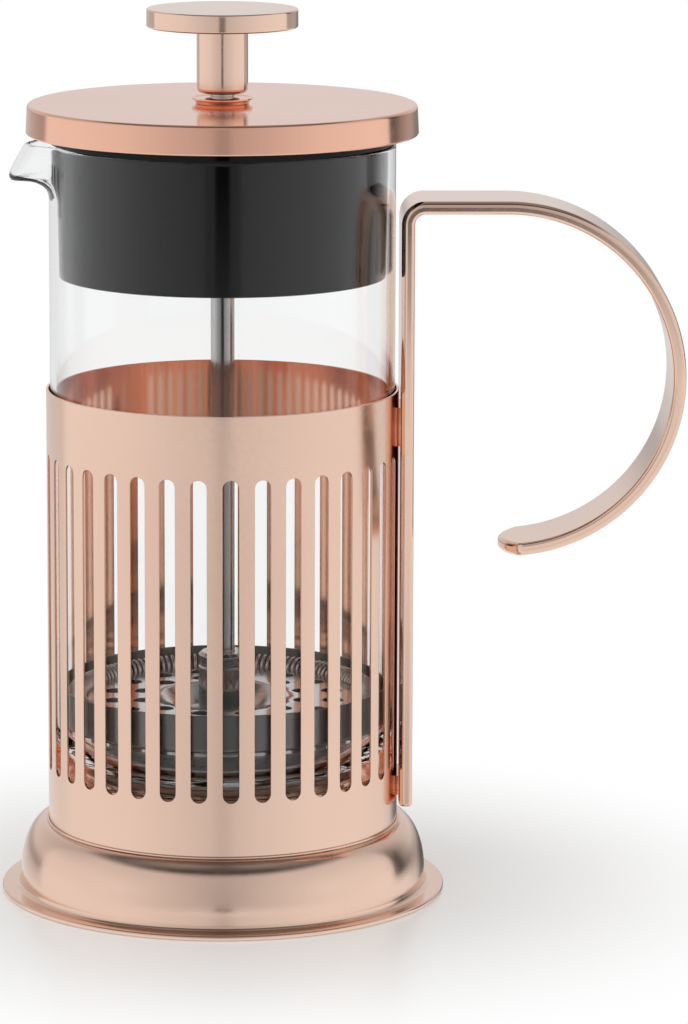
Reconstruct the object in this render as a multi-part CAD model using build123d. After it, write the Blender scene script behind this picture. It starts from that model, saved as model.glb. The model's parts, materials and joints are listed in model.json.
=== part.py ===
from build123d import *
import math
import os

# Three-cup press: a glass beaker in a slotted metal frame, with a lid and a plunger.
# Millimetres. Z is the beaker's axis, Z = 0 is the table, +X is the handle's side.

# --- driving dimensions ---
FIT_GAP = 0.05            # radial gap of a running or soldered fit
LOOSE_GAP = 0.3           # radial gap of a loose part

SLEEVE_R = 36.0           # frame tube, outside radius
SLEEVE_T = 0.5
SLEEVE_BOTTOM = 12.0
SLEEVE_TOP = 104.4
SLOT_PITCHES = 35         # slot positions round the tube; the two behind the handle stay whole
SLOT_W = 3.3
SLOT_LOW = 25.75
SLOT_HIGH = 91.5

FLANGE_R = 45.7           # foot ring
FLANGE_T = 0.87
SHOULDER_R = 41.77
SHOULDER_Z = 3.52
NECK_R = 36.42
NECK_Z = 14.26
COLLAR_TOP = NECK_Z + 0.5
FOOT_FILLET = 1.23
FOOT_T = 0.9

SEAT_TOP = 26.2           # floor of the frame
SEAT_T = 0.8
SEAT_SKIRT = 3.0
CUSHION_T = 1.2
CUSHION_R = 27.0
CUSHION_HOLE_R = 12.0
CUSHION_EDGE = 0.3

GLASS_R = SLEEVE_R - SLEEVE_T - LOOSE_GAP
GLASS_T = 1.2
GLASS_FLOOR_T = 2.4
GLASS_CORNER = 7.0
GLASS_BOTTOM = SEAT_TOP + CUSHION_T
GLASS_RIM = 154.8
BORE_R = GLASS_R - GLASS_T

SPOUT_R = 43.2            # reach of the spout's lip
SPOUT_HALF_ANGLE = 22.0
SPOUT_TIP_L = 3.0         # pointed end of the spout, seen from above
SPOUT_TIP_HALF_W = 2.6
SPOUT_LIP = 3.1           # how far the lip's top stands behind its tip
SPOUT_TIP_DROP = 6.8      # tip, chin and root of the spout, below the rim
SPOUT_CHIN = 0.9
SPOUT_CHIN_DROP = 7.9
SPOUT_ROOT_R = 37.7
SPOUT_ROOT_DROP = 7.55
SPOUT_HEEL_R = 35.4
SPOUT_HEEL_DROP = 9.8
SPOUT_DEPTH = 12.2

BAR_W = 19.0              # handle bar
BAR_T = 2.7
BAR_EDGE = 1.1
BAR_INNER_X = 36.15
BAR_BOTTOM = 18.4
BAR_CORNER = 4.9
LOOP_X = 57.68            # centre and outside radius of the handle's loop
LOOP_Z = 107.27
LOOP_R = 36.47
TIP_RUN = 1.2             # straight end after the loop
BAR_TIP_R = 13.3          # plan radius of the bar's free end
WELD_SPANS = ((20.0, 24.0), (93.0, 101.0))
WELD_W = 12.0
WELD_DEPTH = 2.0
WELD_OVERLAP = 0.02       # clearance that keeps the saddles off the tube

CAP_R = 39.5              # lid cap
CAP_FLARE = 0.3
CAP_TOP = 162.55
CAP_BOTTOM = 156.6
CAP_T = 0.8
CAP_EDGE = 0.7

SKIRT_TOP_R = BORE_R - LOOSE_GAP
SKIRT_LOW_R = 33.2
SKIRT_BOTTOM = 127.7
SKIRT_T = 1.8
PLATE_T = 3.0             # top plate of the insert
PLATE_EDGE = 0.6
BOSS_R = 9.0
BOSS_BOTTOM = 153.0
POUR_SLOTS = 7            # slots in the skirt, behind the spout
POUR_SLOT_STEP = 5.5
POUR_SLOT_W = 1.8
POUR_SLOT_H = 10.0
POUR_SLOT_Z = 145.5

FERRULE_R = 4.4
FERRULE_LIP_R = 6.25
FERRULE_TOP = 163.8
FERRULE_BOTTOM = 150.0
FERRULE_NUT_R = 6.8
HUB_NUT_R = 4.6
NUT_H = 2.6
BUSHING_R = 3.5
BUSHING_TOP = 163.2
BUSHING_FLANGE_T = 1.0

ROD_R = 2.45
ROD_TOP = 176.0
STEM_R = 5.2              # knob
STEM_BOTTOM = 164.7
KNOB_R = 15.34
KNOB_LOW = 178.0
KNOB_TOP = 181.8
CHAMFER = 0.4

FILTER_R = BORE_R - LOOSE_GAP
FILTER_TOP = 43.3
FILTER_LOW = 35.5
MESH_T = 0.35
SPRING_R = 2.7            # radius of the coil's turns
SPRING_Z = 39.6           # height of the coil's middle
HUB_R = 5.0
HUB_TOP = 49.4
HUB_EDGE = 0.6
PLATE_GAUGE = 0.8         # sheet of the two filter plates
LOWER_HOLES = ((8, 12.0, 3.0), (14, 23.5, 3.4))       # count, ring radius, hole radius
SPRING_HOLES = ((12, 17.0, 2.0), (16, 23.0, 2.2))
DISH_INNER_R = 9.0        # where the spring plate's cone starts and ends
DISH_OUTER_R = 13.0


def write(node, solid):
    """Save one node as parts/NODE.step."""
    solid.label = node
    export_step(solid, "parts/" + node + ".step")


def turned(*points):
    """Revolve a closed outline of (radius, height) points about Z."""
    outline = Polyline(*[(r, 0, z) for r, z in points], close=True)
    return revolve(make_face(outline), Axis.Z)


def tube(outer, inner, low, high):
    """Plain ring between two radii and two heights."""
    return turned((inner, low), (outer, low), (outer, high), (inner, high))


def drilled(solid, rings):
    """Drill rings of vertical holes through a filter plate."""
    for count, ring_r, hole_r in rings:
        bit = Cylinder(hole_r, 2 * FILTER_TOP)
        for i in range(count):
            angle = 2 * math.pi * (i + 0.5) / count
            solid -= Pos(ring_r * math.cos(angle), ring_r * math.sin(angle), FILTER_LOW) * bit
    return solid


def hexagon_nut(corner_r, bore_r, top):
    """Plain hexagon nut below a given height."""
    middle = top - NUT_H / 2
    blank = extrude(RegularPolygon(corner_r, 6), NUT_H / 2, both=True)
    return Pos(0, 0, middle) * (blank - Cylinder(bore_r, 2 * NUT_H))


def base_foot():
    """Spun bell with a thin flange and a collar that takes the tube."""
    bore = SLEEVE_R + FIT_GAP
    reach = SHOULDER_R - NECK_R
    rise = NECK_Z - SHOULDER_Z
    inner_r = SHOULDER_R - FOOT_T
    lip_r = FLANGE_R - FLANGE_T / 2
    fillet_r = SHOULDER_R + FOOT_FILLET
    fillet_top = FLANGE_T + FOOT_FILLET
    with BuildSketch(Plane.XZ) as bell:
        with BuildLine():
            Polyline((bore, COLLAR_TOP), (NECK_R, COLLAR_TOP), (NECK_R, NECK_Z))
            EllipticalCenterArc((NECK_R, SHOULDER_Z), reach, rise, arc_size=90)
            Line((SHOULDER_R, SHOULDER_Z), (SHOULDER_R, fillet_top))
            RadiusArc((SHOULDER_R, fillet_top), (fillet_r, FLANGE_T), -FOOT_FILLET)
            Line((fillet_r, FLANGE_T), (lip_r, FLANGE_T))
            RadiusArc((lip_r, FLANGE_T), (lip_r, 0), FLANGE_T / 2)
            Polyline((lip_r, 0), (fillet_r, 0), (inner_r, FOOT_FILLET + FOOT_T), (inner_r, SHOULDER_Z))
            EllipticalCenterArc((NECK_R, SHOULDER_Z), reach - FOOT_T, rise - FOOT_T, arc_size=90)
            Polyline((NECK_R, NECK_Z - FOOT_T), (bore, NECK_Z - FOOT_T), (bore, COLLAR_TOP))
        make_face()
    return revolve(bell.sketch, Axis.Z)


def frame_sleeve():
    """Sheet tube with round-ended slots, left whole behind the handle."""
    solid = tube(SLEEVE_R, SLEEVE_R - SLEEVE_T, SLEEVE_BOTTOM, SLEEVE_TOP)
    outline = Plane.YZ * SlotOverall(SLOT_HIGH - SLOT_LOW, SLOT_W, rotation=90)
    slot = Pos(SLEEVE_R, 0, (SLOT_LOW + SLOT_HIGH) / 2) * extrude(outline, 4 * SLEEVE_T, both=True)
    cutters = []
    for i in range(1, SLOT_PITCHES - 1):
        cutters.append(Rot(0, 0, 360.0 * (i + 0.5) / SLOT_PITCHES) * slot)
    return solid - cutters


def seat_plate():
    """Pressed floor with a turned-down skirt, soldered in the tube."""
    edge = SLEEVE_R - SLEEVE_T - FIT_GAP
    low = SEAT_TOP - SEAT_T
    inner = edge - SEAT_T
    return turned((0, low), (inner, low), (inner, low - SEAT_SKIRT), (edge, low - SEAT_SKIRT),
                  (edge, SEAT_TOP), (0, SEAT_TOP))


def glass_cushion():
    """Loose soft ring that the beaker stands on."""
    ring = tube(CUSHION_R, CUSHION_HOLE_R, SEAT_TOP, GLASS_BOTTOM)
    return fillet(ring.edges().filter_by(GeomType.CIRCLE), CUSHION_EDGE)


def handle_strap():
    """Flat bar: a leg down the tube, a corner, a level run and an open loop."""
    leg_x = BAR_INNER_X + BAR_T / 2
    mid_r = LOOP_R - BAR_T / 2
    top_z = LOOP_Z + mid_r
    corner = BAR_CORNER - BAR_T / 2
    with BuildLine(Plane.XZ) as path:
        Line((leg_x, BAR_BOTTOM), (leg_x, top_z - corner))
        RadiusArc((leg_x, top_z - corner), (leg_x + corner, top_z), corner)
        Line((leg_x + corner, top_z), (LOOP_X, top_z))
        RadiusArc((LOOP_X, top_z), (LOOP_X + mid_r, LOOP_Z), mid_r)
        RadiusArc((LOOP_X + mid_r, LOOP_Z), (LOOP_X, LOOP_Z - mid_r), mid_r)
        Line((LOOP_X, LOOP_Z - mid_r), (LOOP_X - TIP_RUN, LOOP_Z - mid_r))
    start = Plane(origin=(leg_x, 0, BAR_BOTTOM), x_dir=(0, 1, 0), z_dir=(0, 0, 1))
    bar = sweep(start * RectangleRounded(BAR_W, BAR_T, BAR_EDGE), path=path.line)
    corners = Box(2 * BAR_TIP_R, 2 * BAR_TIP_R, 4 * BAR_T) - Cylinder(BAR_TIP_R, 4 * BAR_T)
    corners = corners & (Pos(-BAR_TIP_R, 0, 0) * Box(2 * BAR_TIP_R, 2 * BAR_TIP_R, 4 * BAR_T))
    return bar - Pos(LOOP_X - TIP_RUN + BAR_TIP_R, 0, LOOP_Z - LOOP_R) * corners


def handle_welds():
    """Two brazed saddles that fill the gap between the flat bar and the tube."""
    saddles = []
    for low, high in WELD_SPANS:
        middle = (low + high) / 2
        block = Pos(BAR_INNER_X - WELD_DEPTH / 2, 0, middle) * Box(WELD_DEPTH, WELD_W, high - low)
        core = Pos(0, 0, middle) * Cylinder(SLEEVE_R + WELD_OVERLAP, 2 * (high - low))
        saddles.append(block - core)
    return Compound(children=[Part(saddle.wrapped) for saddle in saddles])


def spout(wall):
    """Solid of the spout's outside, or of its trough when wall is the glass's thickness."""
    side = math.radians(SPOUT_HALF_ANGLE - (2 if wall else 0))
    reach = SPOUT_R - wall
    tip = reach - SPOUT_TIP_L
    root_r = GLASS_R - wall
    root_x = -root_r * math.cos(side)
    root_y = root_r * math.sin(side)
    plan = Polyline((0, 0), (root_x, root_y), (-tip, SPOUT_TIP_HALF_W), (-reach, 0),
                    (-tip, -SPOUT_TIP_HALF_W), (root_x, -root_y), close=True)
    body = Pos(0, 0, GLASS_RIM - SPOUT_DEPTH - 1) * extrude(make_face(plan), SPOUT_DEPTH + 1)
    zero = GLASS_RIM + wall
    with BuildSketch(Plane.XZ) as profile:
        with BuildLine():
            Polyline((0, GLASS_RIM), (SPOUT_LIP - reach, GLASS_RIM), (-reach, zero - SPOUT_TIP_DROP),
                     (SPOUT_CHIN - reach, zero - SPOUT_CHIN_DROP), (-SPOUT_ROOT_R, zero - SPOUT_ROOT_DROP),
                     (-SPOUT_HEEL_R, zero - SPOUT_HEEL_DROP), (-BORE_R, zero - SPOUT_DEPTH),
                     (0, zero - SPOUT_DEPTH), close=True)
        make_face()
    return body & extrude(profile.sketch, 2 * root_r, both=True)


def round_bottomed(radius, low, high, corner):
    """Upright cylinder whose lower edge is rounded."""
    body = Pos(0, 0, (low + high) / 2) * Cylinder(radius, high - low)
    return fillet(body.edges().filter_by(GeomType.CIRCLE).sort_by(Axis.Z)[0], corner)


def glass_beaker():
    """Flat-bottomed glass cup with a pouring spout."""
    body = round_bottomed(GLASS_R, GLASS_BOTTOM, GLASS_RIM, GLASS_CORNER)
    bore_floor = GLASS_BOTTOM + GLASS_FLOOR_T
    bore = round_bottomed(BORE_R, bore_floor, GLASS_RIM + GLASS_T, GLASS_CORNER - GLASS_T)
    return body + spout(0) - bore - spout(GLASS_T)


def lid_cap():
    """Shallow spun cap with a hole for the ferrule."""
    low_r = CAP_R + CAP_FLARE
    hole = FERRULE_R + FIT_GAP
    under = CAP_TOP - CAP_T
    return turned((hole, under), (CAP_R - CAP_T, under), (low_r - CAP_T, CAP_BOTTOM), (low_r, CAP_BOTTOM),
                  (CAP_R + 0.1, CAP_TOP - CAP_EDGE), (CAP_R - 0.1, CAP_TOP - CAP_EDGE / 3),
                  (CAP_R - CAP_EDGE, CAP_TOP), (hole, CAP_TOP))


def lid_insert():
    """Plastic plug: skirt in the beaker, flange on its rim, top plate under the cap."""
    plate_top = CAP_TOP - CAP_T - FIT_GAP
    plate_low = plate_top - PLATE_T
    rim_r = CAP_R - CAP_T - 3 * FIT_GAP
    seat = GLASS_RIM + FIT_GAP
    bore = FERRULE_R + FIT_GAP
    plug = turned((bore, BOSS_BOTTOM), (BOSS_R, BOSS_BOTTOM), (BOSS_R, plate_low),
                  (SKIRT_TOP_R - SKIRT_T, plate_low), (SKIRT_LOW_R - SKIRT_T, SKIRT_BOTTOM),
                  (SKIRT_LOW_R, SKIRT_BOTTOM), (SKIRT_TOP_R, seat), (GLASS_R, seat),
                  (GLASS_R, CAP_BOTTOM), (rim_r, CAP_BOTTOM + PLATE_EDGE), (rim_r, plate_top),
                  (bore, plate_top))
    slot = Pos(-SKIRT_TOP_R, 0, POUR_SLOT_Z) * Box(3 * SKIRT_T, POUR_SLOT_W, POUR_SLOT_H)
    for i in range(POUR_SLOTS):
        plug -= Rot(0, 0, POUR_SLOT_STEP * (i - POUR_SLOTS // 2)) * slot
    return plug


def lid_ferrule():
    """Flared collar whose barrel passes through cap and insert."""
    bore = BUSHING_R + FIT_GAP
    return turned((bore, FERRULE_BOTTOM), (FERRULE_R, FERRULE_BOTTOM), (FERRULE_R, CAP_TOP),
                  (FERRULE_LIP_R - 0.8, CAP_TOP), (FERRULE_LIP_R - 0.5, FERRULE_TOP - 0.6),
                  (FERRULE_LIP_R, FERRULE_TOP - 0.25), (FERRULE_LIP_R - 0.1, FERRULE_TOP),
                  (FERRULE_LIP_R - 0.9, FERRULE_TOP - 0.2), (bore, FERRULE_TOP - 0.4))


def ferrule_nut():
    """Hexagon nut that clamps the lid's pieces from below."""
    return hexagon_nut(FERRULE_NUT_R, FERRULE_R + FIT_GAP, BOSS_BOTTOM)


def rod_bushing():
    """Plastic guide that the rod slides in and turns with."""
    bore = ROD_R + FIT_GAP
    heel = FERRULE_BOTTOM - FIT_GAP
    low = heel - BUSHING_FLANGE_T
    return turned((bore, low), (FERRULE_R, low), (FERRULE_R, heel), (BUSHING_R, heel),
                  (BUSHING_R, BUSHING_TOP), (bore, BUSHING_TOP))


def plunger_knob():
    """Disc on a stem, bored to take the rod's upper end."""
    bore = ROD_R + FIT_GAP
    return turned((bore, STEM_BOTTOM), (STEM_R - 1.0, STEM_BOTTOM), (STEM_R - 0.3, STEM_BOTTOM + 0.4),
                  (STEM_R, STEM_BOTTOM + 1.2), (STEM_R, KNOB_LOW), (KNOB_R - CHAMFER, KNOB_LOW),
                  (KNOB_R, KNOB_LOW + CHAMFER), (KNOB_R, KNOB_TOP - CHAMFER),
                  (KNOB_R - CHAMFER, KNOB_TOP), (0, KNOB_TOP), (0, ROD_TOP + FIT_GAP),
                  (bore, ROD_TOP + FIT_GAP))


def plunger_rod():
    """Round steel rod, from the nut up into the knob."""
    low = FILTER_LOW - PLATE_GAUGE - NUT_H
    return turned((0, low), (ROD_R - CHAMFER, low), (ROD_R, low + CHAMFER), (ROD_R, ROD_TOP), (0, ROD_TOP))


def filter_hub():
    """Turned hub that presses the plates against the nut."""
    low = FILTER_LOW + MESH_T + PLATE_GAUGE
    bore = ROD_R + FIT_GAP
    return turned((bore, low), (HUB_R, low), (HUB_R, HUB_TOP - HUB_EDGE), (HUB_R - HUB_EDGE, HUB_TOP),
                  (bore, HUB_TOP))


def hub_nut():
    """Nut on the rod's lower end."""
    return hexagon_nut(HUB_NUT_R, ROD_R + FIT_GAP, FILTER_LOW - PLATE_GAUGE)


def lower_plate():
    """Perforated plate under the mesh."""
    plate = tube(FILTER_R - HUB_EDGE, ROD_R + FIT_GAP, FILTER_LOW - PLATE_GAUGE, FILTER_LOW)
    return drilled(plate, LOWER_HOLES)


def filter_mesh():
    """Woven screen, folded up round the coil spring."""
    inner = FILTER_R - MESH_T
    floor = FILTER_LOW + MESH_T
    return turned((ROD_R + FIT_GAP, FILTER_LOW), (FILTER_R, FILTER_LOW), (FILTER_R, FILTER_TOP),
                  (inner, FILTER_TOP), (inner, floor), (ROD_R + FIT_GAP, floor))


def spring_plate():
    """Dished plate over the mesh, whose edge carries the coil."""
    low = FILTER_LOW + MESH_T
    high = SPRING_Z - PLATE_GAUGE / 2
    edge = FILTER_R - MESH_T - 2 * SPRING_R - 4 * FIT_GAP
    bore = ROD_R + FIT_GAP
    plate = turned((bore, low), (DISH_INNER_R, low), (DISH_OUTER_R, high), (edge, high),
                   (edge, high + PLATE_GAUGE), (DISH_OUTER_R - 0.3, high + PLATE_GAUGE),
                   (DISH_INNER_R - 0.3, low + PLATE_GAUGE), (bore, low + PLATE_GAUGE))
    return drilled(plate, SPRING_HOLES)


def rim_spring():
    """Outer shape of the coil spring that presses the mesh on the glass."""
    major = FILTER_R - MESH_T - FIT_GAP - SPRING_R
    return Pos(0, 0, SPRING_Z) * Torus(major, SPRING_R)


NODES = (base_foot, frame_sleeve, seat_plate, handle_strap, handle_welds, glass_cushion, glass_beaker,
         lid_cap, lid_insert, lid_ferrule, ferrule_nut, rod_bushing, plunger_knob, plunger_rod,
         filter_hub, hub_nut, lower_plate, filter_mesh, spring_plate, rim_spring)

os.makedirs("parts", exist_ok=True)
for make in NODES:
    write(make.__name__, make())
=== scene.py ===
import json
import math

import bmesh
import bpy
from mathutils import Matrix, Vector
from mathutils.geometry import delaunay_2d_cdt


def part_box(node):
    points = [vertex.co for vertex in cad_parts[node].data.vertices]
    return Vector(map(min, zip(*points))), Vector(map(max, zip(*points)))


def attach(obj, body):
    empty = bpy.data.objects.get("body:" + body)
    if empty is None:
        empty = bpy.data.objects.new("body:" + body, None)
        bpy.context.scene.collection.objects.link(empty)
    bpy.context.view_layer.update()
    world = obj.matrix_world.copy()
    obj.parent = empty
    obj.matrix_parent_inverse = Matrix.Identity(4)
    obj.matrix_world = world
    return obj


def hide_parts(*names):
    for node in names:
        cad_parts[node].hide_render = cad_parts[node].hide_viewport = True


# A three-cup press: glass beaker, slotted copper frame, lid and plunger.
# Outlines are in millimetres, (radius, height) about the beaker's axis, and make_mesh
# turns them into metres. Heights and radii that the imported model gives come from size().

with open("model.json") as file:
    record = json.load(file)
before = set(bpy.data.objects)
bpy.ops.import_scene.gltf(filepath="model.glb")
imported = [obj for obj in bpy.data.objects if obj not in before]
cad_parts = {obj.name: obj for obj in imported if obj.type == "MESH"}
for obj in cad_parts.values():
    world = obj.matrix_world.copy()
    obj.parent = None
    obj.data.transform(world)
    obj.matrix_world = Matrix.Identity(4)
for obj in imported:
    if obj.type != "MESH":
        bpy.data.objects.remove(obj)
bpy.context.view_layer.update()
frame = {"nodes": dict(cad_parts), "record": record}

MM = 0.001
BOX = {node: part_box(node) for node in frame["nodes"]}
BODY_OF = {node: body for body, nodes in frame["record"]["behaviour"]["bodies"].items() for node in nodes}

SEGMENTS = 240            # steps round a turned piece
GAP = 0.05                # running fit between turned pieces
SHEET_T = 0.5             # frame tube
SLOT_PITCHES = 35
SLOT_W = 3.3
SLOT_LOW = 25.75
SLOT_HIGH = 91.5
SLOT_EDGE = 0.1           # rounding of the punched edges
SHOULDER_Z = 3.52         # foot ring
SHOULDER_R = 41.77
NECK_R = 36.42
NECK_Z = 14.26
FLANGE_T = 0.87
FOOT_FILLET = 1.23
FOOT_T = 0.9
PAD_HOLE_R = 12.0
GLASS_T = 1.2             # beaker
GLASS_FLOOR_T = 2.4
GLASS_CORNER = 7.0
SPOUT_HALF_ANGLE = 24.0
SPOUT_DEPTH = 12.7
SPOUT_SHARPNESS = 1.4
BAR_T = 2.7               # handle bar
BAR_OUTER_EDGE = 1.25
BAR_INNER_EDGE = 0.75
BAR_CORNER = 4.9
LOOP_R = 36.47
TIP_RUN = 1.2
BAR_TIP_R = 13.3
LOW_SADDLE_H = 4.0        # brazed saddles
HIGH_SADDLE_H = 8.0
SADDLE_PINCH = 0.5
SADDLE_SINK = 0.01
CAP_T = 0.8               # lid
CAP_FLARE = 0.3
SKIRT_T = 1.8
BOSS_R = 9.0
BOSS_LOW = 153.0
COIL_TURNS = 150          # spring round the filter
WIRE_R = 0.33
MESH_T = 0.35
PLATE_T = 0.8
LOOSE_GAP = 0.3
FERRULE_STEP = 1.85
BUSHING_STEP = 0.9
SKIRT_TAPER = 0.5
INSERT_PLATE_T = 3.0
POUR_SLOTS = 7
POUR_SLOT_Z = 145.5
POUR_SLOT_H = 10.0
COLLAR_NUT_R = 6.8        # nuts, over their corners
HUB_NUT_R = 4.6
STEM_R = 5.2              # knob
DISC_T = 3.8
LOWER_HOLES = ((8, 12.0, 3.0), (14, 23.5, 3.4))
SPRING_HOLES = ((12, 17.0, 2.0), (16, 23.0, 2.2))
DISH = (9.0, 13.0)
HOLE_EASE = 0.12          # rounding of the plates' holes and rims
RIM_EASE = 0.1


# ---------------------------------------------------------------- outlines

def size(node):
    """Outside radius, lowest and highest height of a CAD node, in millimetres."""
    low, high = BOX[node]
    return high.y / MM, low.z / MM, high.z / MM


def rod_bore():
    """Radius of the holes that the rod runs or sits in."""
    return size("plunger_rod")[0] + GAP


def arc(centre, reach, start, end, steps=12, side=1):
    """Points on a circle or ellipse with their normals; side -1 is a hollow."""
    points = []
    for k in range(steps + 1):
        angle = math.radians(start + (end - start) * k / steps)
        normal = Vector((math.cos(angle) / reach[0], math.sin(angle) / reach[1])).normalized() * side
        points.append((centre[0] + reach[0] * math.cos(angle), centre[1] + reach[1] * math.sin(angle),
                       normal.x, normal.y))
    return points


def right_of(direction):
    """Outward normal of an outline that keeps its material on the left."""
    return Vector((direction.y, -direction.x))


def rounded(corners, closed=True, steps=5):
    """Outline with normals, from (radius, height, fillet) corners and ready points of arc()."""
    outline = []
    count = len(corners)
    for i, corner in enumerate(corners):
        if len(corner) == 4:
            outline.append(corner)
            continue
        here = Vector(corner[:2])
        before = Vector(corners[i - 1][:2]) if closed or i else None
        after = Vector(corners[(i + 1) % count][:2]) if closed or i < count - 1 else None
        into = (here - before).normalized() if before else (after - here).normalized()
        out = (after - here).normalized() if after else into
        turn = math.atan2(into.cross(out), into.dot(out))
        fillet = corner[2]
        if fillet == 0 or abs(turn) < 0.01:
            normal = (right_of(into) + right_of(out)).normalized()
            outline.append((here.x, here.y, normal.x, normal.y))
            continue
        bend = 1 if turn > 0 else -1
        centre = here - into * fillet * math.tan(abs(turn) / 2) - right_of(into) * fillet * bend
        for k in range(steps + 1):
            normal = Matrix.Rotation(turn * k / steps, 2) @ right_of(into)
            spot = centre + normal * fillet * bend
            outline.append((spot.x, spot.y, normal.x, normal.y))
    return outline


# ---------------------------------------------------------------- meshes

def make_mesh(name, points, faces, normals=None, own=None):
    """Mesh from millimetre points, shaded by exact point normals; own gives some faces a flat one."""
    mesh = bpy.data.meshes.new(name)
    mesh.from_pydata([Vector(p) * MM for p in points], [], faces)
    mesh.polygons.foreach_set("use_smooth", [True] * len(faces))
    if normals:
        own = own or {}
        corners = []
        for number, face in enumerate(faces):
            corners += [Vector(own.get(number, normals[v])).normalized() for v in face]
        mesh.normals_split_custom_set(corners)
    mesh.update()
    return mesh


def skin(rows, count=SEGMENTS):
    """Faces between rings of point numbers; rings of one repeated number close to a point."""
    faces = []
    for low, high in rows:
        for j in range(count):
            k = (j + 1) % count
            ring = [low[j], low[k], high[k], high[j]]
            face = [v for n, v in enumerate(ring) if v not in ring[:n]]
            if len(face) > 2:
                faces.append(face)
    return faces


def rings_of(outline, segments):
    """Points and normals of a turned outline, and each outline point's ring of point numbers."""
    points, normals, rows = [], [], []
    for r, z, nr, nz in outline:
        if r < GAP / 10:
            rows.append([len(points)] * segments)
            points.append((0, 0, z))
            normals.append((0, 0, nz))
            continue
        rows.append(range(len(points), len(points) + segments))
        for j in range(segments):
            angle = 2 * math.pi * j / segments
            points.append((r * math.cos(angle), r * math.sin(angle), z))
            normals.append((nr * math.cos(angle), nr * math.sin(angle), nz))
    return points, normals, rows


def lathe(name, outline, closed=True, segments=SEGMENTS):
    """Turn an outline about Z. A point on the axis becomes one vertex."""
    points, normals, rows = rings_of(outline, segments)
    pairs = list(zip(rows, rows[1:]))
    if closed:
        pairs.append((rows[-1], rows[0]))
    return make_mesh(name, points, skin(pairs, segments), normals)


def piece_from(mesh, material, *nodes):
    """Put a mesh in the scene in place of the CAD nodes, on their body and material slot."""
    piece = bpy.data.objects.new(mesh.name, mesh)
    bpy.context.scene.collection.objects.link(piece)
    mesh.materials.append(material)
    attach(piece, BODY_OF[nodes[0]])
    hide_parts(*nodes)
    return piece


class Shell:
    """Collects points on cylinders round Z, merging those that coincide."""

    def __init__(self):
        self.points, self.normals, self.faces, self.known = [], [], [], {}

    def add(self, radius, angle, z, normal):
        angle %= 2 * math.pi
        key = (round(radius, 4), round(angle, 5) % round(2 * math.pi, 5), round(z, 4))
        if key not in self.known:
            self.known[key] = len(self.points)
            self.points.append((radius * math.cos(angle), radius * math.sin(angle), z))
            along, across, up = normal
            self.normals.append((along * math.cos(angle) - across * math.sin(angle),
                                 along * math.sin(angle) + across * math.cos(angle), up))
        return self.known[key]

    def patch(self, radius, spots, flip=False):
        """One face of a skin at that radius, facing out, or in when flipped."""
        side = -1 if flip else 1
        face = [self.add(radius, a, z, (side, 0, 0)) for a, z in spots]
        self.faces.append(face[::-1] if flip else face)


# ---------------------------------------------------------------- materials

def maker(tree):
    """Short way to add nodes to a tree, with values for their sockets or settings."""
    def node(kind, **values):
        made = tree.nodes.new(kind)
        for key, value in values.items():
            if key in made.inputs:
                made.inputs[key].default_value = value
            else:
                setattr(made, key, value)
        return made

    return node


def new_material(name):
    """Material with its node tree, its principled shader and its node maker."""
    material = bpy.data.materials.new(name)
    material.use_nodes = True
    tree = material.node_tree
    return material, tree, tree.nodes["Principled BSDF"], maker(tree)


def object_place(tree, node, scale=(1, 1, 1)):
    """Object coordinates, stretched; they move with the piece."""
    place = node("ShaderNodeTexCoord")
    mapping = node("ShaderNodeMapping", Scale=scale)
    tree.links.new(place.outputs["Object"], mapping.inputs["Vector"])
    return mapping.outputs["Vector"]


def ramp(tree, node, factor, *stops):
    """Colour ramp over (position, colour) stops."""
    made = node("ShaderNodeValToRGB")
    elements = made.color_ramp.elements
    while len(elements) < len(stops):
        elements.new(1.0)
    for element, (position, colour) in zip(elements, stops):
        element.position = position
        element.color = (*colour, 1) if len(colour) == 3 else colour
    tree.links.new(factor, made.inputs["Fac"])
    return made.outputs["Color"]


def grey(level):
    """Colour with three equal parts."""
    return (level, level, level)


def grained(name, noise_values, tints, gloss, relief=None, stretch=(1, 1, 1)):
    """Material whose tint, gloss and relief follow one noise; relief is (strength, depth)."""
    material, tree, shader, node = new_material(name)
    noise = node("ShaderNodeTexNoise", **noise_values)
    tree.links.new(object_place(tree, node, stretch), noise.inputs["Vector"])
    dark, pale = tints
    tint = ramp(tree, node, noise.outputs["Fac"], (0.3, dark), (0.7, pale))
    tree.links.new(tint, shader.inputs["Base Color"])
    smooth, rough = gloss
    shine = ramp(tree, node, noise.outputs["Fac"], (0.3, grey(smooth)), (0.7, grey(rough)))
    tree.links.new(shine, shader.inputs["Roughness"])
    if relief:
        bump = node("ShaderNodeBump", Strength=relief[0], Distance=relief[1])
        tree.links.new(noise.outputs["Fac"], bump.inputs["Height"])
        tree.links.new(bump.outputs["Normal"], shader.inputs["Normal"])
    return material, shader


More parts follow.
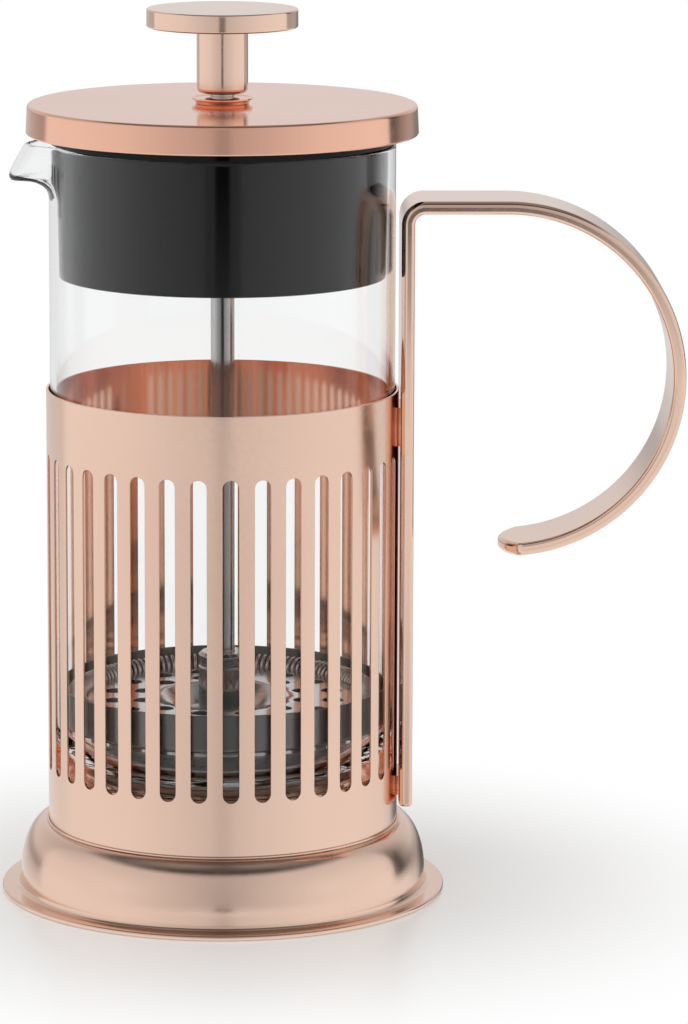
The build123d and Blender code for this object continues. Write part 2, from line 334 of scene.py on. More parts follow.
def copper(name, colour, roughness):
    """Plated metal: a tint that drifts, faint rubbing in the gloss and a slight swell."""
    material, tree, shader, node = new_material(name)
    shader.inputs["Metallic"].default_value = 1.0
    drift = node("ShaderNodeTexNoise", Scale=18.0, Detail=2.0)
    rub = node("ShaderNodeTexNoise", Scale=900.0, Detail=4.0, Roughness=0.6)
    wave = node("ShaderNodeTexNoise", Scale=45.0, Detail=1.0)
    for noise in (drift, rub, wave):
        tree.links.new(object_place(tree, node), noise.inputs["Vector"])
    pale = tuple(min(1.0, c * 1.02) for c in colour)
    deep = tuple(c * k for c, k in zip(colour, (0.985, 0.965, 0.955)))
    tint = ramp(tree, node, drift.outputs["Fac"], (0.35, deep), (0.65, pale))
    tree.links.new(tint, shader.inputs["Base Color"])
    gloss = ramp(tree, node, rub.outputs["Fac"], (0.3, grey(roughness * 0.85)), (0.7, grey(roughness * 1.2)))
    tree.links.new(gloss, shader.inputs["Roughness"])
    swell = node("ShaderNodeBump", Strength=0.02, Distance=0.002)
    tree.links.new(wave.outputs["Fac"], swell.inputs["Height"])
    tree.links.new(swell.outputs["Normal"], shader.inputs["Normal"])
    return material


def steel(name, colour, roughness, stretch=(1, 1, 1)):
    """Plain stainless steel with drawn or turned marks."""
    marks = {"Scale": 1500.0, "Detail": 5.0, "Roughness": 0.65}
    dark = tuple(c * 0.88 for c in colour)
    material, shader = grained(name, marks, (dark, colour), (roughness * 0.8, roughness * 1.3),
                               (0.08, 0.00005), stretch)
    shader.inputs["Metallic"].default_value = 1.0
    return material


def woven_screen():
    """Fine woven wire: two crossed waves that turn with the cup; its dark grey, darkest where the weave is
    low, is painted shade in the pores between the wires.
    """
    material, tree, shader, node = new_material("woven_screen")
    shader.inputs["Metallic"].default_value = 1.0
    shader.inputs["Roughness"].default_value = 0.34
    place = object_place(tree, node)
    warp = node("ShaderNodeTexWave", bands_direction="DIAGONAL", Scale=2400.0)
    weft = node("ShaderNodeTexWave", bands_direction="Z", Scale=2400.0)
    for wave in (warp, weft):
        tree.links.new(place, wave.inputs["Vector"])
    cross = node("ShaderNodeMath", operation="MAXIMUM")
    tree.links.new(warp.outputs["Fac"], cross.inputs[0])
    tree.links.new(weft.outputs["Fac"], cross.inputs[1])
    # Dark where the weave dips, pale on the crossings: painted shade in the pores between the wires.
    tint = ramp(tree, node, cross.outputs["Value"],
                (0.35, (0.10, 0.096, 0.094)), (0.9, (0.26, 0.25, 0.245)))
    tree.links.new(tint, shader.inputs["Base Color"])
    bump = node("ShaderNodeBump", Strength=0.15, Distance=0.0001)
    tree.links.new(cross.outputs["Value"], bump.inputs["Height"])
    tree.links.new(bump.outputs["Normal"], shader.inputs["Normal"])
    return material


def black_plastic():
    """Glossy moulded plastic with a trace of mould texture."""
    material, shader = grained("black_plastic", {"Scale": 260.0, "Detail": 3.0},
                               ((0.0010, 0.0010, 0.0013), (0.0016, 0.0016, 0.0020)), (0.04, 0.07),
                               (0.012, 0.0002))
    shader.inputs["IOR"].default_value = 1.28
    return material


def black_nylon():
    """Matt nylon with a fine grain."""
    return grained("nylon", {"Scale": 400.0, "Detail": 4.0}, (grey(0.014), grey(0.026)), (0.4, 0.52),
                   (0.25, 0.0002))[0]


def clear_glass():
    """Thin blown glass with faint draw lines; lamps shine through it."""
    material, tree, shader, node = new_material("clear_glass")
    shader.inputs["Transmission Weight"].default_value = 1.0
    shader.inputs["IOR"].default_value = 1.37
    shader.inputs["Specular IOR Level"].default_value = 0.1
    shader.inputs["Roughness"].default_value = 0.0
    draw = node("ShaderNodeTexNoise", Scale=40.0, Detail=2.0)
    tree.links.new(object_place(tree, node, (1, 1, 0.15)), draw.inputs["Vector"])
    tint = ramp(tree, node, draw.outputs["Fac"], (0.3, (0.960, 0.966, 0.966)), (0.7, (0.974, 0.978, 0.978)))
    tree.links.new(tint, shader.inputs["Base Color"])
    bump = node("ShaderNodeBump", Strength=0.03, Distance=0.0006)
    tree.links.new(draw.outputs["Fac"], bump.inputs["Height"])
    tree.links.new(bump.outputs["Normal"], shader.inputs["Normal"])
    path = node("ShaderNodeLightPath")
    clear = node("ShaderNodeBsdfTransparent", Color=(0.93, 0.95, 0.95, 1))
    mix = node("ShaderNodeMixShader")
    tree.links.new(path.outputs["Is Shadow Ray"], mix.inputs["Fac"])
    tree.links.new(shader.outputs["BSDF"], mix.inputs[1])
    tree.links.new(clear.outputs["BSDF"], mix.inputs[2])
    tree.links.new(mix.outputs["Shader"], tree.nodes["Material Output"].inputs["Surface"])
    return material


def clear_silicone():
    """Soft milky pad, faintly cloudy."""
    material, shader = grained("clear_silicone", {"Scale": 120.0, "Detail": 3.0},
                               ((0.78, 0.78, 0.76), (0.88, 0.88, 0.87)), (0.25, 0.4))
    shader.inputs["Transmission Weight"].default_value = 0.4
    shader.inputs["IOR"].default_value = 1.41
    return material


ROSE = (0.89, 0.635, 0.51)
# The lid's tint is a darker, redder copy of the rose copper: painted shade in place of the darker reflections
# on the lid and its collar.
LID_SHADE_TINT = (0.93, 0.54, 0.40)
FRAME_COPPER = copper("frame_copper", ROSE, 0.19)
# The inside copper is a darker, redder copy of the frame copper: painted shade on the tube's inside faces and
# on the floor plate.
INNER_SHADED_COPPER = copper("inner_shaded_copper", (0.95, 0.55, 0.38), 0.10)
FOOT_COPPER = copper("foot_copper", ROSE, 0.17)
BAR_COPPER = copper("bar_copper", ROSE, 0.07)
KNOB_COPPER = copper("knob_copper", ROSE, 0.12)
# Copper for the lid and collar in that darker tint: painted shade.
LID_SHADED_COPPER = copper("lid_shaded_copper", LID_SHADE_TINT, 0.13)
STEEL = steel("bright_steel", (0.58, 0.56, 0.55), 0.13)
ROD_STEEL = steel("rod_steel", (0.58, 0.565, 0.56), 0.10, (1, 1, 0.03))
SPRING_STEEL = steel("spring_steel", (0.66, 0.64, 0.63), 0.12)
SCREEN = woven_screen()
BLACK = black_plastic()
SILICONE = clear_silicone()
NYLON = black_nylon()
GLASS = clear_glass()


# ---------------------------------------------------------------- frame of the press

def foot_bell():
    """Spun bell: flange with a rolled lip, hollow fillet, shoulder and a beaded collar."""
    flange_r, low, high = size("base_foot")
    bore = size("frame_sleeve")[0] + GAP
    lip = FLANGE_T / 2
    inner_r = SHOULDER_R - FOOT_T
    fillet_r = SHOULDER_R + FOOT_FILLET
    reach = (SHOULDER_R - NECK_R, NECK_Z - SHOULDER_Z)
    inner_reach = (reach[0] - FOOT_T, reach[1] - FOOT_T)
    corners = [(fillet_r, low, 0.3)]
    corners += arc((flange_r - lip, low + lip), (lip, lip), -90, 90)
    corners += arc((fillet_r, FLANGE_T + FOOT_FILLET), (FOOT_FILLET, FOOT_FILLET), -90, -180, 12, -1)
    corners += arc((NECK_R, SHOULDER_Z), reach, 0, 90, 28)
    corners += [(NECK_R, high, 0.2), (bore, high, 0.1), (bore, NECK_Z - FOOT_T, 0.1)]
    corners += arc((NECK_R, SHOULDER_Z), inner_reach, 90, 0, 16, -1)
    corners += [(inner_r, FOOT_FILLET + FOOT_T, 0.5)]
    return piece_from(lathe("foot_bell", rounded(corners)), FOOT_COPPER, "base_foot")


def slot_outline(grow, steps=12):
    """Upright round-ended slot as (across, height, normal across, normal height)."""
    half = SLOT_W / 2
    outline = []
    for end, start in ((SLOT_HIGH - half, 0), (SLOT_LOW + half, 180)):
        for k in range(steps + 1):
            angle = math.radians(start + 180.0 * k / steps)
            across, up = math.cos(angle), math.sin(angle)
            outline.append(((half + grow) * across, end + (half + grow) * up, -across, -up))
    return outline


def sleeve_skin(shell, radius, flip, middle, whole, arch, bowl, ends):
    """One pitch of the tube's outer or inner skin; arch and bowl are the ends of its slot."""
    bottom, top = ends
    arch_z, bowl_z = arch[0][1], bowl[0][1]
    half_pitch = math.pi / SLOT_PITCHES
    columns = [-half_pitch] + [a for a, _ in arch] + [half_pitch]
    for k in range(len(columns) - 1):
        left, right = columns[k] + middle, columns[k + 1] + middle
        beside = not 0 < k < len(columns) - 2
        lows = (bowl_z, bowl_z) if beside or whole else (bowl[k - 1][1], bowl[k][1])
        highs = (arch_z, arch_z) if beside or whole else (arch[k - 1][1], arch[k][1])
        shell.patch(radius, [(left, bottom), (right, bottom), (right, lows[1]), (left, lows[0])], flip)
        shell.patch(radius, [(left, highs[0]), (right, highs[1]), (right, top), (left, top)], flip)
        if beside or whole:
            shell.patch(radius, [(left, bowl_z), (right, bowl_z), (right, arch_z), (left, arch_z)], flip)


def slot_walls(shell, radii, middle, grown, plain):
    """Punched wall of one slot, rounded into the outer and the inner skin."""
    outer, inner = radii
    rings = []
    for ring, radius, facing in ((grown, outer, 1), (plain, outer - SLOT_EDGE, 0),
                                 (plain, inner + SLOT_EDGE, 0), (grown, inner, -1)):
        rings.append([shell.add(radius, middle + a / outer, z, (facing, 0, 0) if facing else (0, na, nz))
                      for a, z, na, nz in ring])
    for first, second in zip(rings, rings[1:]):
        for k in range(len(first)):
            n = (k + 1) % len(first)
            shell.faces.append([first[k], first[n], second[n], second[k]])


def sleeve_end(shell, radii, middle, columns, end, up):
    """Rounded sheet edge at the tube's top (up is 1) or bottom (up is -1), for one pitch."""
    outer, inner = radii
    rise = up * SLOT_EDGE
    rings = [[shell.add(radius, middle + a, end + lift, normal) for a in columns]
             for radius, lift, normal in ((outer, 0, (1, 0, 0)), (outer - SLOT_EDGE, rise, (0, 0, up)),
                                          (inner + SLOT_EDGE, rise, (0, 0, up)), (inner, 0, (-1, 0, 0)))]
    for first, second in zip(rings, rings[1:]):
        for k in range(len(columns) - 1):
            face = [first[k], first[k + 1], second[k + 1], second[k]]
            shell.faces.append(face if up > 0 else face[::-1])


def slotted_sleeve():
    """Sheet tube: 33 punched slots with rounded edges, two pitches whole behind the handle."""
    outer, low, high = size("frame_sleeve")
    inner = outer - SHEET_T
    shell = Shell()
    ends = (low + SLOT_EDGE, high - SLOT_EDGE)
    pitch = 2 * math.pi / SLOT_PITCHES
    grown, plain = slot_outline(SLOT_EDGE), slot_outline(0.0)
    count = len(grown) // 2
    arch = [(a / outer, z) for a, z, _, _ in grown[:count]][::-1]
    bowl = [(a / outer, z) for a, z, _, _ in grown[count:]]
    columns = [-pitch / 2] + [a for a, _ in arch] + [pitch / 2]
    for i in range(SLOT_PITCHES):
        middle = (i + 0.5) * pitch
        whole = i in (0, SLOT_PITCHES - 1)
        for radius, flip in ((outer, False), (inner, True)):
            sleeve_skin(shell, radius, flip, middle, whole, arch, bowl, ends)
        if not whole:
            slot_walls(shell, (outer, inner), middle, grown, plain)
        for end, up in ((ends[1], 1), (ends[0], -1)):
            sleeve_end(shell, (outer, inner), middle, columns, end, up)
    mesh = make_mesh("slotted_sleeve", shell.points, shell.faces, shell.normals)
    piece = piece_from(mesh, FRAME_COPPER, "frame_sleeve")
    # Inside faces of the tube take the darker, redder copper: painted shade.
    mesh.materials.append(INNER_SHADED_COPPER)
    for face in mesh.polygons:
        if face.center.xy.length < (inner + SLOT_EDGE / 2) * MM:
            face.material_index = 1
    return piece


def floor_plate():
    """Pressed floor with a turned-down skirt."""
    edge, low, high = size("seat_plate")
    under = high - PLATE_T
    outline = rounded([(0, under, 0), (edge - PLATE_T, under, 0.5), (edge - PLATE_T, low, 0.2),
                       (edge, low, 0.2), (edge, high, 1.0), (0, high, 0)], closed=False)
    # The floor plate takes the darker, redder copper of the tube's inside: painted shade.
    return piece_from(lathe("floor_plate", outline, closed=False), INNER_SHADED_COPPER, "seat_plate")


def silicone_pad():
    """Thin soft ring under the beaker."""
    edge, low, high = size("glass_cushion")
    outline = rounded([(PAD_HOLE_R, low, 0.3), (edge, low, 0.3), (edge, high, 0.3), (PAD_HOLE_R, high, 0.3)])
    return piece_from(lathe("silicone_pad", outline), SILICONE, "glass_cushion")


def bar_section(inset, steps=6, flats=8):
    """Outline of the flat bar, (across, through, normal across, normal through), shrunk by inset."""
    low, high = BOX["handle_strap"]
    half_w = (high.y - low.y) / 2 / MM - inset
    half_t = BAR_T / 2 - inset
    outline = []
    for quarter, (side, face) in enumerate(((1, 1), (-1, 1), (-1, -1), (1, -1))):
        edge = max((BAR_OUTER_EDGE if face > 0 else BAR_INNER_EDGE) - inset, 0.02)
        for k in range(steps + 1):
            angle = math.radians(90.0 * (quarter + k / steps))
            across, through = math.cos(angle), math.sin(angle)
            outline.append((side * (half_w - edge) + edge * across, face * (half_t - edge) + edge * through,
                            across, through))
        if side == face:
            run = 2 * (half_w - edge)
            outline += [(side * (half_w - edge - run * k / flats), face * half_t, 0, face)
                        for k in range(1, flats)]
    return outline


def bar_plan():
    """Measures of the bar's middle line, and the lengths where its leg, corner and level run end."""
    low, high = BOX["handle_strap"]
    half_t = BAR_T / 2
    leg_x, foot_z = low.x / MM + half_t, low.z / MM
    top_z = high.z / MM - half_t
    loop_x = high.x / MM - LOOP_R
    corner = BAR_CORNER - half_t
    leg = top_z - corner - foot_z
    bend = leg + corner * math.pi / 2
    level = bend + loop_x - leg_x - corner
    return leg_x, foot_z, top_z, loop_x, corner, leg, bend, level


def bar_at(length):
    """Middle of the bar at a length from its foot: the point, the way ahead and the way outward."""
    leg_x, foot_z, top_z, loop_x, corner, leg, bend, level = bar_plan()
    loop_r = LOOP_R - BAR_T / 2
    loop = math.pi * loop_r
    if length <= leg:
        spot, turn = (leg_x, foot_z + length), math.pi / 2
    elif length <= bend:
        turn = math.pi / 2 - (length - leg) / corner
        spot = (leg_x + corner - corner * math.sin(turn), top_z - corner + corner * math.cos(turn))
    elif length <= level:
        spot, turn = (leg_x + corner + length - bend, top_z), 0.0
    elif length <= level + loop:
        turn = -(length - level) / loop_r
        spot = (loop_x - loop_r * math.sin(turn), top_z - loop_r + loop_r * math.cos(turn))
    else:
        turn = -math.pi
        spot = (loop_x - (length - level - loop), top_z - 2 * loop_r)
    ahead = Vector((math.cos(turn), 0, math.sin(turn)))
    outward = Vector((-math.sin(turn), 0, math.cos(turn)))
    return Vector((spot[0], 0, spot[1])), ahead, outward


def bar_rings():
    """Rings along the bar as (length, share of the tip's bow, shrinkage, lean of the rounding)."""
    leg, bend, level = bar_plan()[-3:]
    end = level + math.pi * (LOOP_R - BAR_T / 2) + TIP_RUN
    foot_edge, tip_edge, tip, rounding, tip_steps = 0.6, 1.0, 9.0, 6, 10
    rings = []
    for k in range(rounding):
        lean = math.pi / 2 * (1 - k / rounding)
        rings.append((foot_edge * (1 - math.sin(lean)), 0, foot_edge * (1 - math.cos(lean)), -lean))
    for first, last, steps in ((foot_edge, leg, 24), (leg, bend, 24), (bend, level, 8),
                               (level, end - tip, 110)):
        rings += [(first + (last - first) * k / steps, 0, 0, 0) for k in range(steps)]
    for k in range(tip_steps + 1):
        rings.append((end - tip + (tip - tip_edge) * k / tip_steps, k / tip_steps, 0, 0))
    for k in range(1, rounding + 1):
        lean = math.pi / 2 * k / rounding
        rings.append((end - tip_edge + tip_edge * math.sin(lean), 1, tip_edge * (1 - math.cos(lean)), lean))
    return rings


def closed_walls(loops):
    """Faces between loops of point numbers that each close on themselves."""
    faces = []
    for first, second in zip(loops, loops[1:]):
        for k in range(len(first)):
            n = (k + 1) % len(first)
            faces.append([first[k], first[n], second[n], second[k]])
    return faces


def handle_bar():
    """Flat bar bent to a leg, a corner and an open loop, with rounded edges and a bowed tip."""
    points, normals, loops = [], [], []
    for base, bowed, inset, lean in bar_rings():
        loop = []
        for across, through, n_across, n_through in bar_section(inset):
            bow = BAR_TIP_R - math.sqrt(BAR_TIP_R ** 2 - across ** 2)
            spot, ahead, outward = bar_at(base - bowed * bow)
            side = Vector((0, across / BAR_TIP_R * bowed, 0))
            facing = outward * n_through + Vector((0, n_across, 0))
            loop.append(len(points))
            points.append(spot + outward * through + Vector((0, across, 0)))
            normals.append(facing * math.cos(lean) + (ahead + side).normalized() * math.sin(lean))
        loops.append(loop)
    faces = closed_walls(loops)
    half = len(loops[0]) // 2
    for loop, at_end in ((loops[0], False), (loops[-1], True)):
        for k in range(half - 1):
            face = [loop[k], loop[k + 1], loop[-k - 2], loop[-k - 1]]
            faces.append(face if at_end else face[::-1])
    return piece_from(make_mesh("handle_bar", points, faces, normals), BAR_COPPER, "handle_strap")


def saddle_loop(half, z, tube_r, bar_x):
    """Outline of a brazed fillet at one height: the tube's curve, then hollow sides to the bar."""
    def tube_x(y):
        return math.sqrt(tube_r ** 2 - y * y)

    loop = [(tube_x(half * (1 - n / 8)), half * (1 - n / 8), z) for n in range(17)]
    for across, out in ((-0.97, 0.35), (-0.99, 0.7), (-1.0, 1.0), (1.0, 1.0), (0.99, 0.7), (0.97, 0.35)):
        y = half * across
        loop.append((tube_x(y) + (bar_x - tube_x(y)) * out, y, z))
    return loop


def braze_saddles():
    """Brazed fillets between the round tube and the flat bar, hollow at their sides."""
    low, high = BOX["handle_welds"]
    tube_r = size("frame_sleeve")[0] - SADDLE_SINK
    bar_x = high.x / MM + GAP
    half = high.y / MM
    low_z, high_z = low.z / MM, high.z / MM
    levels = 6
    points, faces = [], []
    for bottom, top in ((low_z, low_z + LOW_SADDLE_H), (high_z - HIGH_SADDLE_H, high_z)):
        loops = []
        for k in range(levels + 1):
            pinch = SADDLE_PINCH * (math.sin(math.pi * k / levels) - 1)
            loop = saddle_loop(half + pinch, bottom + (top - bottom) * k / levels, tube_r, bar_x)
            loops.append(list(range(len(points), len(points) + len(loop))))
            points += loop
        faces += [face[::-1] for face in closed_walls(loops)]
        faces.append(loops[0])
        faces.append(loops[-1][::-1])
    mesh = make_mesh("braze_saddles", points, faces)
    mesh.set_sharp_from_angle(angle=math.radians(50))
    return piece_from(mesh, FRAME_COPPER, "handle_welds")


# ---------------------------------------------------------------- beaker

def spout_side(share):
    """Outside of the spout in its own plane, from the wall (0) to the lip's top (1): radius and height."""
    wall, _, rim = size("glass_beaker")
    reach = -BOX["glass_beaker"][0].x / MM
    knots = [(wall, rim - SPOUT_DEPTH), (wall + 0.05, rim - 10.8), (wall + 0.7, rim - 9.2),
             (wall + 2.3, rim - 8.0), (wall + 4.4, rim - 7.55), (wall + 6.1, rim - 7.7),
             (reach - 0.75, rim - 7.85), (reach - 0.1, rim - 7.4), (reach - 0.05, rim - 6.4),
             (reach - 0.8, rim - 4.6), (reach - 1.9, rim - 2.6), (reach - 3.0, rim - 0.7)]
    at = share * (len(knots) - 1)
    k = min(int(at), len(knots) - 2)
    t = at - k
    before, here = Vector(knots[max(k - 1, 0)]), Vector(knots[k])
    there, after = Vector(knots[k + 1]), Vector(knots[min(k + 2, len(knots) - 1)])
    leave, arrive = (there - before) / 2, (after - here) / 2
    return (here * (2 * t ** 3 - 3 * t ** 2 + 1) + leave * (t ** 3 - 2 * t ** 2 + t)
            + there * (3 * t ** 2 - 2 * t ** 3) + arrive * (t ** 3 - t ** 2))


def spout_rows():
    """Rows up the spout's outside, over its lip and down its inside.

    Each row is (radius, height, radius in the spout's plane, height in the spout's plane)."""
    wall, _, rim = size("glass_beaker")
    lip = GLASS_T / 2
    low, count, lip_steps, small = rim - SPOUT_DEPTH, 44, 8, 0.01
    heights = [low + (rim - lip - low) * k / count for k in range(count + 1)]
    outside, inside = [], []
    for k, z in enumerate(heights):
        share = k / count
        spot = spout_side(share)
        ahead = spout_side(min(share + small, 1)) - spout_side(max(share - small, 0))
        outside.append((wall, z, *spot))
        inside.append((wall - GLASS_T, z, *(spot - right_of(ahead.normalized()) * GLASS_T)))
    top = Vector(outside[-1][2:])
    across = Vector(inside[-1][2:]) - top
    rise = Vector((across.y, -across.x)).normalized() * lip
    over = []
    for k in range(1, lip_steps):
        angle = math.pi * k / lip_steps
        spot = top + across * (1 - math.cos(angle)) / 2 + rise * math.sin(angle)
        over.append((wall - lip + lip * math.cos(angle), rim - lip + lip * math.sin(angle), *spot))
    return outside + over + inside[::-1]


def beaker():
    """Closed glass: outside wall, round rim, inside wall and floor, pulled out to a spout."""
    wall, low, rim = size("glass_beaker")
    bore, floor_z = wall - GLASS_T, low + GLASS_FLOOR_T
    middle, below_spout = (low + rim) / 2, rim - SPOUT_DEPTH - 1
    outer, inner = GLASS_CORNER, GLASS_CORNER - GLASS_T
    outside = rounded([(0, low + 0.35, 0), (wall - outer - 4, low + 0.1, 1.0),
                       *arc((wall - outer, low + outer), (outer, outer), -90, 0, 20),
                       (wall, low + outer + 1, 0), (wall, middle, 0), (wall, below_spout, 0)], closed=False)
    inside = rounded([(bore, below_spout, 0), (bore, middle, 0), (bore, floor_z + inner + 1, 0),
                      *arc((bore - inner, floor_z + inner), (inner, inner), 0, -90, 18, -1),
                      (0, floor_z, 0)], closed=False)
    rows = [(r, z, r, z) for r, z, _, _ in outside] + spout_rows() + [(r, z, r, z) for r, z, _, _ in inside]
    points, grid = [], []
    half = math.radians(SPOUT_HALF_ANGLE)
    for r, z, spout_r, spout_z in rows:
        if r < GAP:
            grid.append([len(points)] * SEGMENTS)
            points.append((0, 0, z))
            continue
        grid.append(range(len(points), len(points) + SEGMENTS))
        for j in range(SEGMENTS):
            angle = 2 * math.pi * j / SEGMENTS
            off = min(abs(angle - math.pi) / half, 1)
            pull = (0.5 + 0.5 * math.cos(math.pi * off)) ** SPOUT_SHARPNESS
            radius, height = r + (spout_r - r) * pull, z + (spout_z - z) * pull
            points.append((radius * math.cos(angle), radius * math.sin(angle), height))
    return piece_from(make_mesh("beaker", points, skin(zip(grid, grid[1:]))), GLASS, "glass_beaker")


# ---------------------------------------------------------------- lid

def cap_shell():
    """Spun cap: faintly crowned top, tight bright edge and a flared, hemmed rim."""
    low_r, low, high = size("lid_cap")
    top_r = low_r - CAP_FLARE
    hole = size("lid_ferrule")[0] - FERRULE_STEP + GAP
    under = high - CAP_T
    outline = rounded([(hole, under, 0.1), (top_r - CAP_T, under, 0.5), (low_r - CAP_T, low, 0.3),
                       (low_r, low, 0.35), (top_r, high, 0.75), (hole, high, 0.1)], steps=7)
    # The cap takes the lid's darker copper: painted shade.
    return piece_from(lathe("cap_shell", outline), LID_SHADED_COPPER, "lid_cap")


def plug_outline(skirt, slot_ends):
    """Half section of the insert; skirt gives its outside radius at a height."""
    rim_r, low, high = size("lid_insert")
    glass_r, _, glass_rim = size("glass_beaker")
    seat = glass_rim + GAP
    bore = size("lid_ferrule")[0] - FERRULE_STEP + GAP
    plate_low = high - INSERT_PLATE_T
    cap_low = size("lid_cap")[1]
    slot_low, slot_high = slot_ends
    return rounded([(bore, BOSS_LOW, 0.15), (BOSS_R, BOSS_LOW, 0.3), (BOSS_R, plate_low, 0.3),
                    (skirt(seat) - SKIRT_T, plate_low, 0.8),
                    (skirt(slot_high) - SKIRT_T, slot_high, 0), (skirt(slot_low) - SKIRT_T, slot_low, 0),
                    (skirt(low) - SKIRT_T, low, 0.35), (skirt(low), low, 0.35),
                    (skirt(slot_low), slot_low, 0), (skirt(slot_high), slot_high, 0),
                    (skirt(seat), seat, 0.2), (glass_r, seat, 0.25), (glass_r, cap_low, 0.3),
                    (rim_r, cap_low + 0.6, 0.4), (rim_r, high, 0.3), (bore, high, 0.15)])


def insert_plug():
    """Black plug: skirt with pouring slots towards the spout, flange, boss and top plate."""
    low = size("lid_insert")[1]
    glass_r, _, glass_rim = size("glass_beaker")
    skirt_r = glass_r - GLASS_T - LOOSE_GAP
    slot_low, slot_high = POUR_SLOT_Z - POUR_SLOT_H / 2, POUR_SLOT_Z + POUR_SLOT_H / 2

    def skirt(z):
        return skirt_r - SKIRT_TAPER + SKIRT_TAPER * (z - low) / (glass_rim + GAP - low)

    outline = plug_outline(skirt, (slot_low, slot_high))
    segments, step, wide = 720, 11, 6
    points, normals, rows = rings_of(outline, segments)
    at = {(round(r, 3), round(z, 3)): n for n, (r, z, _, _) in enumerate(outline)}
    in_high, in_low, out_low, out_high = (
        at[(round(skirt(z) - wall, 3), round(z, 3))]
        for wall, z in ((SKIRT_T, slot_high), (SKIRT_T, slot_low), (0, slot_low), (0, slot_high)))
    open_columns = set()
    for i in range(POUR_SLOTS):
        first = segments // 2 + step * (i - POUR_SLOTS // 2) - wide // 2
        open_columns.update(range(first, first + wide))
    faces, own = [], {}
    for i in range(len(rows)):
        below, above = rows[i], rows[(i + 1) % len(rows)]
        for j in range(segments):
            if i not in (in_high, out_low) or j not in open_columns:
                k = (j + 1) % segments
                faces.append([below[j], below[k], above[k], above[j]])

    def wall(corners, normal):
        own[len(faces)] = normal
        faces.append(corners)

    for j in sorted(open_columns):
        k = (j + 1) % segments
        angle = 2 * math.pi * j / segments
        turn = Vector((-math.sin(angle), math.cos(angle), 0))
        wall([rows[out_low][j], rows[out_low][k], rows[in_low][k], rows[in_low][j]], (0, 0, 1))
        wall([rows[out_high][k], rows[out_high][j], rows[in_high][j], rows[in_high][k]], (0, 0, -1))
        if j - 1 not in open_columns:
            wall([rows[out_low][j], rows[in_low][j], rows[in_high][j], rows[out_high][j]], turn)
        if k not in open_columns:
            wall([rows[out_low][k], rows[out_high][k], rows[in_high][k], rows[in_low][k]], -turn)
    return piece_from(make_mesh("insert_plug", points, faces, normals, own), BLACK, "lid_insert")


def collar():
    """Flared ferrule that holds the lid's pieces; its barrel goes down through them."""
    lip_r, low, high = size("lid_ferrule")
    barrel = lip_r - FERRULE_STEP
    bore = size("rod_bushing")[0] - BUSHING_STEP + GAP
    seat = size("lid_cap")[2]
    outline = rounded([(bore, low, 0.1), (barrel, low, 0.2), (barrel, seat + 0.02, 0.05),
                       (lip_r - 0.9, seat + 0.02, 0.1), (lip_r - 0.6, high - 0.55, 0.3),
                       (lip_r, high - 0.3, 0.12), (lip_r - 0.1, high, 0.1), (lip_r - 0.9, high - 0.2, 0.3),
                       (bore, high - 0.35, 0.15)])
    # The collar takes the lid's darker copper: painted shade.
    return piece_from(lathe("collar", outline, segments=160), LID_SHADED_COPPER, "lid_ferrule")


def hexagon_nut(name, corner_r, bore, material, node):
    """Nut with chamfered corners, as a turned blank cut to six flats."""
    _, low, high = size(node)
    segments, crown, ease, bore_only = 96, 0.35, 0.2, bore + 1
    flat_r = corner_r * math.cos(math.pi / 6)
    outline = [(bore, low + ease), (bore + ease, low), (flat_r, low), (corner_r, low + crown),
               (corner_r, high - crown), (flat_r, high), (bore + ease, high), (bore, high - ease)]
    points = []
    for r, z in outline:
        for j in range(segments):
            angle = 2 * math.pi * j / segments
            flat = math.cos((angle % (math.pi / 3)) - math.pi / 6)
            reach = min(r, flat_r / flat) if r > bore_only else r
            points.append((reach * math.cos(angle), reach * math.sin(angle), z))
    rows = [range(i * segments, (i + 1) * segments) for i in range(len(outline))]
    mesh = make_mesh(name, points, skin(zip(rows, rows[1:] + rows[:1]), segments))
    mesh.set_sharp_from_angle(angle=math.radians(24))
    return piece_from(mesh, material, node)


def rod_guide():
    """Nylon sleeve with a flange under the collar."""
    flange_r, low, high = size("rod_bushing")
    body = flange_r - BUSHING_STEP
    bore = rod_bore()
    outline = rounded([(bore, low, 0.3), (flange_r, low, 0.3), (flange_r, low + 1.0, 0.1),
                       (body, low + 1.0, 0.1), (body, high, 0.2), (bore, high, 0.3)])
    return piece_from(lathe("rod_guide", outline, segments=96), NYLON, "rod_bushing")


# ---------------------------------------------------------------- plunger

def knob():
    """Disc and stem in one turned piece, with eased edges."""
    disc_r, low, high = size("plunger_knob")
    bore = rod_bore()
    rod_top = size("plunger_rod")[2] + GAP
    outline = rounded([(bore, low, 0.1), (STEM_R, low, 1.1), (STEM_R, high - DISC_T, 0.25),
                       (disc_r, high - DISC_T, 0.4), (disc_r, high, 0.4), (0, high, 0), (0, rod_top, 0),
                       (bore, rod_top, 0.05)], steps=7)
    points, normals, rows = rings_of(outline, SEGMENTS)
    pairs = [(a, b) for a, b in zip(rows, rows[1:] + rows[:1]) if a[0] != a[1] or b[0] != b[1]]
    mesh = make_mesh("knob", points, skin(pairs), normals)
    return piece_from(mesh, KNOB_COPPER, "plunger_knob")


def rod():
    """Drawn steel rod with a chamfered foot."""
    r, low, high = size("plunger_rod")
    outline = rounded([(0, low, 0), (r, low, 0.4), (r, (low + high) / 2, 0), (r, high, 0.1), (0, high, 0)],
                      closed=False)
    return piece_from(lathe("rod", outline, closed=False, segments=96), ROD_STEEL, "plunger_rod")


